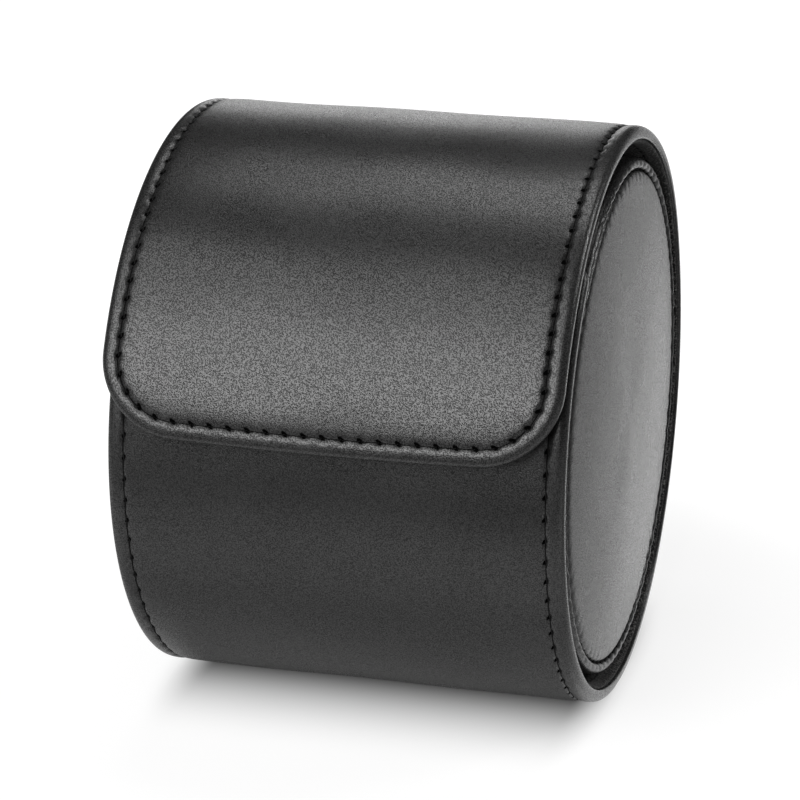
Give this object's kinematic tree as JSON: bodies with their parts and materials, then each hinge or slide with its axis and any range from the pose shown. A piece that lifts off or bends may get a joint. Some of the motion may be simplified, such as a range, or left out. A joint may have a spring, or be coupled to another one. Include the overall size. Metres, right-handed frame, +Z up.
{
  "type": "watch roll",
  "caption": "Lying leather tube for a watch, with a flap that folds over its front and a sliding insert that carries a soft pillow.",
  "frame": {"origin": "middle of the base's flat on the surface that the roll stands on, below the tube's axis", "axes": "+X along the tube to its right end, -Y to the front that the flap covers, +Z up"},
  "size_m": [0.0716, 0.0943, 0.0917],
  "materials": {
    "black_leather": "satin",
    "dark_suede": "matte",
    "stiff_board": "matte",
    "foam": "matte",
    "magnet": "satin"
  },
  "bodies": {
    "shell": {"shell_leather": "black_leather", "shell_board": "stiff_board", "shell_lining": "dark_suede", "shell_magnet_left": "magnet", "shell_magnet_right": "magnet", "hinge_leather": "black_leather", "hinge_lining": "dark_suede"},
    "flap": {"flap_leather": "black_leather", "flap_board": "stiff_board", "flap_lining": "dark_suede", "flap_magnet_left": "magnet", "flap_magnet_right": "magnet"},
    "insert": {"left_disc_leather": "black_leather", "left_disc_pad": "foam", "left_disc_board": "stiff_board", "left_disc_lining": "dark_suede", "right_disc_leather": "black_leather", "right_disc_pad": "foam", "right_disc_board": "stiff_board", "right_disc_lining": "dark_suede", "cradle_board": "stiff_board", "cradle_lining": "dark_suede", "pillow_cover": "dark_suede", "pillow_core": "foam", "pillow_left_cap": "dark_suede", "pillow_right_cap": "dark_suede"}
  },
  "joints": [
    {"name": "flap_hinge", "type": "hinge", "parent": "shell", "child": "flap", "pos_m": [0, 0.03864, 0.06795], "axis": [-1, 0, 0], "range_deg": [0, 135], "deforming": ["hinge_leather", "hinge_lining"]},
    {"name": "insert_slide", "type": "slide", "parent": "shell", "child": "insert", "axis": [1, 0, 0], "range_m": [0, 0.06]}
  ]
}
